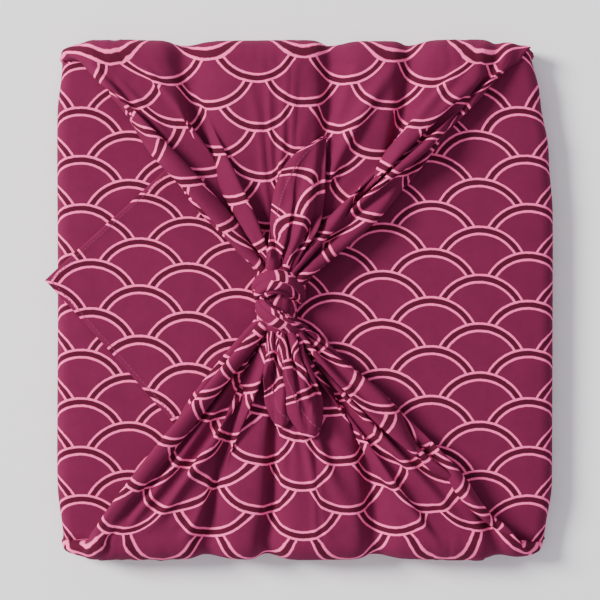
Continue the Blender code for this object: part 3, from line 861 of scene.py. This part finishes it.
knotCore = [
    dict(x=-0.0030, y=-0.0420, z=0.0230, wide=0.0060, high=0.0020),
    dict(x=-0.0010, y=-0.0330, z=0.0270, wide=0.0106, high=0.0052),
    dict(x=0.0000, y=-0.0190, z=0.0288, wide=0.0120, high=0.0070),
    dict(x=-0.0006, y=-0.0020, z=0.0306, wide=0.0124, high=0.0084),
    dict(x=-0.0012, y=0.0140, z=0.0296, wide=0.0116, high=0.0072),
    dict(x=-0.0022, y=0.0290, z=0.0274, wide=0.0104, high=0.0050),
    dict(x=-0.0046, y=0.0400, z=0.0236, wide=0.0060, high=0.0020),
]


def readStations(rows, part):
    keys = rows[0].keys()
    return {key: splinePoint([row[key] for row in rows], part) for key in keys}


band = dict(
    around=96, along=64,
    core=0.56,                # the grooves between the folds go this deep, as a share of the radius
    lobe=0.42, uneven=0.10,   # radius of a fold, and how much folds differ
    drift=0.45, twist=0.9,    # how far the folds wander and turn along the band, in radians
    bumps=0.07,
    printAround=0.075, printAlong=0.062,   # how much of the print the band shows
    printLap=0.013,                        # each fold shows another stretch of it
    printShift=0.02,
)


def lobedSection(lobes, angle, part, seed):
    # a bunch of folds seen end on: how far the outermost fold reaches, and which one it is
    best, winner = band["core"], 0
    for k in range(lobes):
        drift = noise.noise(Vector((k * 3.1 + seed, part * 2.2, 0.5)))
        radius = band["lobe"] + band["uneven"] * noise.noise(Vector((k * 5.7 + seed, part * 2.6, 4.0)))
        middle = 1.0 - radius + band["uneven"] * noise.noise(Vector((k * 1.9 + seed, part * 3.4, 9.0)))
        turn = angle - 2.0 * math.pi * k / lobes - band["drift"] * drift
        turn -= band["twist"] * (part - 0.5) * math.sin(seed)
        inside = radius ** 2 - (middle * math.sin(turn)) ** 2
        if inside > 0.0 and math.cos(turn) > 0.0:
            reach = middle * math.cos(turn) + math.sqrt(inside)
            if reach > best:
                best, winner = reach, k
    return best, winner


def bunchedBand(name, rows, across, lobes, seed):
    # cloth bunched into a soft rope: folds lie side by side along it, with sharp grooves between them
    around, along = band["around"], band["along"]
    rings, folds = [], []
    side = Vector(across)
    for j in range(along + 1):
        part = j / along
        here = readStations(rows, part)
        ahead = readStations(rows, min(1.0, part + 0.01))
        behind = readStations(rows, max(0.0, part - 0.01))
        middle = Vector((knotX + here["x"], here["y"], here["z"]))
        travel = Vector([ahead[key] - behind[key] for key in ("x", "y", "z")]).normalized()
        up = travel.cross(side).normalized()
        side = up.cross(travel).normalized()
        ring, which = [], []
        for i in range(around):
            angle = 2.0 * math.pi * i / around
            size, winner = lobedSection(lobes, angle, part, seed)
            bumpy = noise.noise(Vector((math.cos(angle) * 1.6, math.sin(angle) * 1.6, part * 4.0 + seed)))
            offset = side * (math.cos(angle) * here["wide"]) + up * (math.sin(angle) * here["high"])
            ring.append(middle + offset * (size + band["bumps"] * bumpy))
            which.append(winner)
        rings.append(ring + ring[:1])
        folds.append(which + which[:1])

    def flat(i, j):
        shift = band["printShift"] * seed
        lap = band["printLap"] * folds[j][i]
        return shift + band["printAround"] * i / around + lap, shift + band["printAlong"] * j / along

    shape = clothGrid(around, along, lambda i, j: rings[j][i], flat)
    bmesh.ops.holes_fill(shape, edges=[edge for edge in shape.edges if edge.is_boundary])
    bmesh.ops.recalc_face_normals(shape, faces=shape.faces)
    return finished(name, shape)


# The two free ends: corners of the cloth folded in half, hems at the left and the fold at the right.
# left, right: the edges; tall: height of the folded layers; pleat: how far the top layer is pleated;
# lean: how much further the right edge lies; up: how high the end stands over the gathers.
tail = dict(
    across=72, along=64,
    clear=0.0008,             # above what it lies on
    wavy=0.0012,              # how far its lines wander sideways
    wrinkles=0.10,            # height of its wrinkles, as a share of its own
)
upperTail = [[
    dict(y=0.0140, left=-0.0260, right=-0.0080, tall=0.0060, pleat=1.00, lean=0.0000, up=-0.0080),
    dict(y=0.0300, left=-0.0250, right=-0.0020, tall=0.0085, pleat=1.00, lean=0.0000, up=-0.0030),
    dict(y=0.0460, left=-0.0235, right=0.0080, tall=0.0085, pleat=0.90, lean=0.0000, up=0.0000),
    dict(y=0.0640, left=-0.0215, right=0.0135, tall=0.0070, pleat=0.70, lean=0.0040, up=0.0004),
    dict(y=0.0800, left=-0.0180, right=0.0145, tall=0.0052, pleat=0.40, lean=0.0100, up=0.0003),
    dict(y=0.0950, left=-0.0085, right=0.0145, tall=0.0036, pleat=0.15, lean=0.0120, up=0.0003),
    dict(y=0.1090, left=0.0105, right=0.0140, tall=0.0022, pleat=0.00, lean=0.0020, up=0.0003),
]]
lowerTail = [[
    dict(y=-0.0150, left=-0.0200, right=-0.0080, tall=0.0060, pleat=1.00, lean=0.0000, up=-0.0070),
    dict(y=-0.0270, left=-0.0185, right=-0.0020, tall=0.0080, pleat=1.00, lean=0.0000, up=-0.0040),
    dict(y=-0.0380, left=-0.0170, right=0.0010, tall=0.0085, pleat=1.00, lean=0.0000, up=-0.0010),
    dict(y=-0.0520, left=-0.0160, right=0.0070, tall=0.0090, pleat=0.85, lean=0.0000, up=0.0006),
    dict(y=-0.0660, left=-0.0140, right=0.0120, tall=0.0078, pleat=0.60, lean=0.0020, up=0.0004),
    dict(y=-0.0790, left=-0.0100, right=0.0120, tall=0.0056, pleat=0.30, lean=0.0040, up=0.0003),
    dict(y=-0.0905, left=-0.0010, right=0.0050, tall=0.0024, pleat=0.00, lean=0.0020, up=0.0003),
], [
    dict(y=-0.0160, left=-0.0230, right=-0.0150, tall=0.0050, pleat=0.60, lean=0.0000, up=-0.0060),
    dict(y=-0.0290, left=-0.0250, right=-0.0140, tall=0.0064, pleat=0.60, lean=0.0000, up=-0.0030),
    dict(y=-0.0420, left=-0.0262, right=-0.0120, tall=0.0074, pleat=0.60, lean=0.0000, up=0.0000),
    dict(y=-0.0560, left=-0.0272, right=-0.0105, tall=0.0072, pleat=0.50, lean=0.0000, up=0.0016),
    dict(y=-0.0690, left=-0.0262, right=-0.0100, tall=0.0056, pleat=0.30, lean=0.0020, up=0.0010),
    dict(y=-0.0790, left=-0.0225, right=-0.0115, tall=0.0034, pleat=0.10, lean=0.0030, up=0.0006),
    dict(y=-0.0850, left=-0.0185, right=-0.0150, tall=0.0020, pleat=0.00, lean=0.0010, up=0.0004),
]]
# Sections of a folded end from its hem round to the hem below: place across, height.
plainSection = [(-0.50, 0.60), (-0.40, 0.78), (-0.28, 0.88), (-0.17, 0.94), (-0.06, 0.97),
                (0.05, 1.00), (0.16, 1.00), (0.26, 0.97), (0.35, 0.90), (0.43, 0.78),
                (0.49, 0.60), (0.50, 0.38), (0.35, 0.10), (0.00, 0.03), (-0.42, 0.06)]
pleatedSection = [(-0.50, 0.50), (-0.40, 0.84), (-0.25, 1.00), (-0.10, 0.84), (-0.15, 0.52),
                  (-0.04, 0.42), (0.05, 0.80), (0.17, 1.06), (0.30, 0.86), (0.27, 0.52),
                  (0.40, 0.56), (0.50, 0.34), (0.34, 0.06), (0.00, 0.00), (-0.42, 0.06)]
foldAt = 11                   # the section's point on the fold
# The grid that the gathered ends' heights are read on. half: its cells on each side of the middle.
heightGrid = dict(pitch=0.0025, half=24, far=52, passes=3)


def gatherHeights(end):
    # heights of the gathered end on a fine grid, evened out as a folded end that lies on it would
    pitch, half, far = heightGrid["pitch"], heightGrid["half"], heightGrid["far"]
    wide = 2 * half + 1
    top = [[wrap["fan"]] * wide for _ in range(far)]
    for j in range(2 * gather["fanRows"] + 1):
        for i in range(2 * gather["columns"] + 1):
            point = slackPoint(end, i / gather["columns"] - 1.0, "fan", j / (2.0 * gather["fanRows"]))
            a, b = round(point.x / pitch) + half, round(abs(point.y) / pitch)
            if 0 <= a < wide and 0 <= b < far:
                top[b][a] = max(top[b][a], point.z)
    for _ in range(heightGrid["passes"]):
        top = [[(2.0 * top[b][a] + max(top[b][max(0, a - 1)], top[b][min(wide - 1, a + 1)])
                 + max(top[max(0, b - 1)][a], top[min(far - 1, b + 1)][a])) / 4.0
                for a in range(wide)] for b in range(far)]

    def read(x, y):
        u = max(0.0, min(wide - 1.001, x / pitch + half))
        v = max(0.0, min(far - 1.001, abs(y) / pitch))
        a, b = int(u), int(v)
        near = top[b][a] + (top[b][a + 1] - top[b][a]) * (u - a)
        ahead = top[b + 1][a] + (top[b + 1][a + 1] - top[b + 1][a]) * (u - a)
        return near + (ahead - near) * (v - b)

    return read


def foldedLine(here, j, leaf, end, seed, heights):
    # one line of points across a folded end, from its hem round to the hem below
    section = [Vector(a).lerp(Vector(b), here["pleat"]) for a, b in zip(plainSection, pleatedSection)]
    line = []
    for i in range(tail["across"] + 1):
        shape = splinePoint(section, i / tail["across"])
        x = (here["left"] + here["right"]) / 2.0 + (here["right"] - here["left"]) * shape.x
        x += tail["wavy"] * noise.noise(Vector((shape.x * 2.0 + seed, j * 0.09, leaf)))
        y = here["y"] + end * here["lean"] * (shape.x + 0.5)
        wrinkle = noise.noise(Vector((x * 160.0 + seed, y * 60.0, 2.0 + leaf)))
        height = shape.y + tail["wrinkles"] * wrinkle * ease(shape.y)
        line.append(Vector((x, y, heights(x, y) + here["up"] + tail["clear"] + here["tall"] * height)))
    return line


def foldedPlaces(line, here, tip, end):
    # where the line lies on the flat cloth: square to the diagonal, with the fold on it
    far = runningLength(line)
    middle = far[round(tail["across"] * foldAt / (len(plainSection) - 1.0))]
    left = abs(tip - here["y"])
    return [((value - middle) * (left / max(middle, 0.001)), end * (corner - left)) for value in far]


def foldedEnd(name, leaves, end, seed):
    heights = gatherHeights(end)
    joined = bmesh.new()
    for leaf, rows in enumerate(leaves):
        stations = [readStations(rows, j / tail["along"]) for j in range(tail["along"] + 1)]
        lines = [foldedLine(here, j, leaf, end, seed, heights) for j, here in enumerate(stations)]
        places = [foldedPlaces(line, here, rows[-1]["y"], end) for line, here in zip(lines, stations)]
        shape = clothGrid(tail["across"], tail["along"],
                          lambda i, j: lines[j][i], lambda i, j: places[j][i])
        data = bpy.data.meshes.new(name + "Leaf")
        shape.to_mesh(data)
        shape.free()
        joined.from_mesh(data)
        bpy.data.meshes.remove(data)
    return thickened(finished(name, joined))


def linear(hexColour):
    values = [int(hexColour[k:k + 2], 16) / 255.0 for k in (1, 3, 5)]
    return tuple(v / 12.92 if v <= 0.04045 else ((v + 0.055) / 1.055) ** 2.4 for v in values) + (1.0,)


def addNode(tree, kind, inputs, **settings):
    # an input that is a node is linked to its first output, and one that is a socket to itself
    node = tree.nodes.new(kind)
    for name, value in settings.items():
        setattr(node, name, value)
    for name, value in inputs.items():
        if isinstance(value, bpy.types.Node):
            value = value.outputs[0]
        if isinstance(value, bpy.types.NodeSocket):
            tree.links.new(value, node.inputs[name])
        else:
            node.inputs[name].default_value = value
    return node


# Printed cotton: plain-woven medium cotton, dyed burgundy, with a pale wave-scale print. It is matt, with
# a fine thread texture and slight unevenness of the dye.
cottonLook = dict(
    ground="#721D42", groundDeep="#5B1633", band="#4C0E25", line="#FF67A2", thread="#7C2F50",
    roughness=0.92, specular=0.12,
    sheen=0.10, sheenRoughness=0.5, sheenTint="#D8628E",    # the cotton's short fibres
    scaleRadius=0.0330,       # each scale of the print
    lineWidth=0.0015,
    secondLine=0.0050,        # from the rim to the inner line
    lineEdge=0.00025,         # over which a line fades into the ground
    bleed=0.0005,             # how far the lines wander along the threads, and how often
    bleedPitch=0.00238,
    dyePatch=0.0182,          # size of the dye's uneven patches
    threadPitch=0.0009,       # drawn coarser than the real 0.4 mm thread, which is too fine to show
    weaveHeight=0.0002, weaveStrength=0.35,
    stitchPlace=0.0050,       # from the cloth's edge
    stitchWidth=0.0005, stitchPitch=0.0028, stitchShare=0.7,
    stitchSunk=3.0,           # how far it pulls the cloth in, in heights of the weave
)


def waveScales(tree, place):
    # distance in from the rim of the frontmost scale; scales lie in rows, each moved on by half a scale
    radius = cottonLook["scaleRadius"]
    inRadii = addNode(tree, "ShaderNodeVectorMath", {0: place, "Scale": 1.0 / radius}, operation="SCALE")
    parts = addNode(tree, "ShaderNodeSeparateXYZ", {"Vector": inRadii})
    x, y = parts.outputs["X"], parts.outputs["Y"]
    doubled = addNode(tree, "ShaderNodeMath", {0: y, 1: 2.0, 2: -2.0}, operation="MULTIPLY_ADD")
    lowest = addNode(tree, "ShaderNodeMath", {0: doubled}, operation="CEIL")
    nearest = None
    for step in (3.0, 2.0, 1.0, 0.0):
        row = addNode(tree, "ShaderNodeMath", {0: lowest, 1: step}, operation="ADD")
        odd = addNode(tree, "ShaderNodeMath", {0: row, 1: 2.0}, operation="FLOORED_MODULO")
        moved = addNode(tree, "ShaderNodeMath", {0: x, 1: odd}, operation="SUBTRACT")
        across = addNode(tree, "ShaderNodeMath", {0: moved, 1: 1.0, 2: -1.0}, operation="WRAP")
        up = addNode(tree, "ShaderNodeMath", {0: row, 1: -0.5, 2: y}, operation="MULTIPLY_ADD")
        spot = addNode(tree, "ShaderNodeCombineXYZ", {"X": across, "Y": up})
        far = addNode(tree, "ShaderNodeVectorMath", {0: spot}, operation="LENGTH").outputs["Value"]
        if nearest is None:
            nearest = far
            continue
        inside = addNode(tree, "ShaderNodeMath", {0: far, 1: 1.0}, operation="LESS_THAN")
        mixed = addNode(tree, "ShaderNodeMix", {"Factor": inside, "A": nearest, "B": far})
        nearest = mixed.outputs["Result"]
    return addNode(tree, "ShaderNodeMath", {0: nearest, 1: -radius, 2: radius}, operation="MULTIPLY_ADD")


def printedLines(tree, rim):
    # where the rim's line and the line inside it lie
    half, edge = cottonLook["lineWidth"] / 2.0, cottonLook["lineEdge"]
    lines = []
    for place in (half, cottonLook["secondLine"] + half):
        past = addNode(tree, "ShaderNodeMath", {0: rim, 1: place}, operation="SUBTRACT")
        away = addNode(tree, "ShaderNodeMath", {0: past}, operation="ABSOLUTE")
        lines.append(addNode(tree, "ShaderNodeMapRange", {
            "Value": away, "From Min": half - edge, "From Max": half + edge, "To Min": 1.0, "To Max": 0.0}))
    return addNode(tree, "ShaderNodeMath", {0: lines[0], 1: lines[1]}, operation="MAXIMUM")


def printedBand(tree, rim):
    # the dark band between the two lines
    first, last = cottonLook["lineWidth"] / 2.0, cottonLook["secondLine"]
    middle, half = (first + last) / 2.0, (last - first) / 2.0
    return addNode(tree, "ShaderNodeMath", {0: rim, 1: middle, 2: half}, operation="COMPARE")


def hemStitches(tree, cloth):
    # a row of stitches along the hem: where the thread shows
    look, slant = cottonLook, math.sqrt(0.5)
    quarter = addNode(tree, "ShaderNodeVectorMath", {0: cloth}, operation="ABSOLUTE")
    outward = addNode(tree, "ShaderNodeVectorMath", {0: quarter, 1: (slant, slant, 0.0)},
                      operation="DOT_PRODUCT").outputs["Value"]
    along = addNode(tree, "ShaderNodeVectorMath", {0: quarter, 1: (slant, -slant, 0.0)},
                    operation="DOT_PRODUCT").outputs["Value"]
    place = corner * slant - look["stitchPlace"]
    inRow = addNode(tree, "ShaderNodeMath", {0: outward, 1: place, 2: look["stitchWidth"] / 2.0},
                    operation="COMPARE")
    run = addNode(tree, "ShaderNodeMath", {0: along, 1: look["stitchPitch"]}, operation="DIVIDE")
    stitch = addNode(tree, "ShaderNodeMath", {0: run}, operation="FRACT")
    shown = addNode(tree, "ShaderNodeMath", {0: stitch, 1: look["stitchShare"]}, operation="LESS_THAN")
    return addNode(tree, "ShaderNodeMath", {0: inRow, 1: shown}, operation="MULTIPLY")


def wovenHeight(tree, cloth, stitches):
    # warp and weft run along the cloth's sides, and the stitches pull it in
    turn = math.pi * math.sqrt(2.0) / cottonLook["threadPitch"]
    threads = []
    for slant in (turn, -turn):
        run = addNode(tree, "ShaderNodeVectorMath", {0: cloth, 1: (turn, slant, 0.0)},
                      operation="DOT_PRODUCT").outputs["Value"]
        threads.append(addNode(tree, "ShaderNodeMath", {0: run}, operation="SINE"))
    weave = addNode(tree, "ShaderNodeMath", {0: threads[0], 1: threads[1]}, operation="MULTIPLY")
    return addNode(tree, "ShaderNodeMath", {0: stitches, 1: -cottonLook["stitchSunk"], 2: weave},
                   operation="MULTIPLY_ADD")


def printedCotton():
    look = cottonLook
    material = bpy.data.materials.new("printedCotton")
    material.use_nodes = True
    tree = material.node_tree
    shader = tree.nodes["Principled BSDF"]
    cloth = addNode(tree, "ShaderNodeUVMap", {}, uv_map="cloth")
    jitter = addNode(tree, "ShaderNodeTexNoise",
                     {"Vector": cloth, "Scale": 1.0 / look["bleedPitch"], "Detail": 1.0})
    printAt = addNode(tree, "ShaderNodeVectorMath",
                      {0: jitter.outputs["Color"], 1: (look["bleed"], look["bleed"], 0.0), 2: cloth},
                      operation="MULTIPLY_ADD")
    rim = waveScales(tree, printAt)
    stitches = hemStitches(tree, cloth)
    patches = addNode(tree, "ShaderNodeTexNoise", {
        "Vector": cloth, "Scale": 1.0 / look["dyePatch"], "Detail": 6.0, "Roughness": 0.75})
    layers = [
        (patches.outputs["Fac"], "ground"),
        (printedBand(tree, rim), "band"),
        (printedLines(tree, rim), "line"),
        (stitches, "thread"),
    ]
    colour = linear(look["groundDeep"])
    for share, name in layers:
        colour = addNode(tree, "ShaderNodeMix", {"Factor": share, "A": colour, "B": linear(look[name])},
                         data_type="RGBA").outputs["Result"]
    tree.links.new(colour, shader.inputs["Base Color"])
    shader.inputs["Roughness"].default_value = look["roughness"]
    shader.inputs["Specular IOR Level"].default_value = look["specular"]
    shader.inputs["Sheen Weight"].default_value = look["sheen"]
    shader.inputs["Sheen Roughness"].default_value = look["sheenRoughness"]
    shader.inputs["Sheen Tint"].default_value = linear(look["sheenTint"])
    bump = addNode(tree, "ShaderNodeBump", {
        "Height": wovenHeight(tree, cloth, stitches),
        "Strength": look["weaveStrength"], "Distance": look["weaveHeight"]})
    tree.links.new(bump.outputs["Normal"], shader.inputs["Normal"])
    return material


print("stage: folding the cloth")
cottonPrint = printedCotton()
wrapped = buildWrap()
print("stage: tying the knot")
knotPieces = [
    bunchedBand("knotCore", knotCore, across=(1.0, 0.0, 0.0), lobes=11, seed=1.0),
    bunchedBand("knotUpperBight", knotUpper, across=(0.0, 1.0, 0.0), lobes=7, seed=2.3),
    bunchedBand("knotLowerBight", knotLower, across=(0.0, 1.0, 0.0), lobes=7, seed=4.1),
    bunchedBand("knotSideFold", knotSide, across=(1.0, 0.0, 0.0), lobes=6, seed=5.2),
    foldedEnd("upperFreeEnd", upperTail, end=1, seed=0.6),
    foldedEnd("lowerFreeEnd", lowerTail, end=-1, seed=1.9),
]
for piece in [wrapped] + knotPieces:
    piece.data.materials.append(cottonPrint)
    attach(piece, "root")
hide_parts("furoshiki_cloth")

# A pale matt board, one large window at the left, and a dim even room.
studio = dict(
    board="#F4F2F3", boardRoughness=0.9, boardSize=3.0,
    window=(-3.5, 1.4, 2.6), windowSize=1.6, windowPower=440.0, windowColour=(1.0, 0.985, 0.97),
    room=(0.93, 0.92, 1.0, 1.0), roomPower=0.75,
)
# The camera looks straight down. across: width of the view at the height of the parcel.
above = dict(x=-0.003, across=0.408, height=0.020, lens=100.0, sensor=36.0, clip=20.0)


def buildFloor():
    shape = bmesh.new()
    bmesh.ops.create_grid(shape, x_segments=1, y_segments=1, size=studio["boardSize"])
    floor = finished("paleBoard", shape)
    material = bpy.data.materials.new("mattBoard")
    material.use_nodes = True
    shader = material.node_tree.nodes["Principled BSDF"]
    shader.inputs["Base Color"].default_value = linear(studio["board"])
    shader.inputs["Roughness"].default_value = studio["boardRoughness"]
    floor.data.materials.append(material)


def buildLight():
    light = bpy.data.lights.new("window", "AREA")
    light.shape = "DISK"
    light.size = studio["windowSize"]
    light.energy = studio["windowPower"]
    light.color = studio["windowColour"]
    lamp = bpy.data.objects.new("window", light)
    bpy.context.scene.collection.objects.link(lamp)
    lamp.location = studio["window"]
    lamp.rotation_euler = (-Vector(studio["window"])).to_track_quat("-Z", "Y").to_euler()
    world = bpy.data.worlds.new("studio")
    world.use_nodes = True
    world.node_tree.nodes["Background"].inputs["Color"].default_value = studio["room"]
    world.node_tree.nodes["Background"].inputs["Strength"].default_value = studio["roomPower"]
    bpy.context.scene.world = world


def buildCamera():
    camera = bpy.data.cameras.new("above")
    camera.lens = above["lens"]
    camera.sensor_width = above["sensor"]
    camera.clip_end = above["clip"]
    eye = bpy.data.objects.new("above", camera)
    bpy.context.scene.collection.objects.link(eye)
    eye.location = (above["x"], 0.0, above["across"] * above["lens"] / above["sensor"] + above["height"])
    bpy.context.scene.camera = eye


print("stage: floor, light and camera")
buildFloor()
buildLight()
buildCamera()
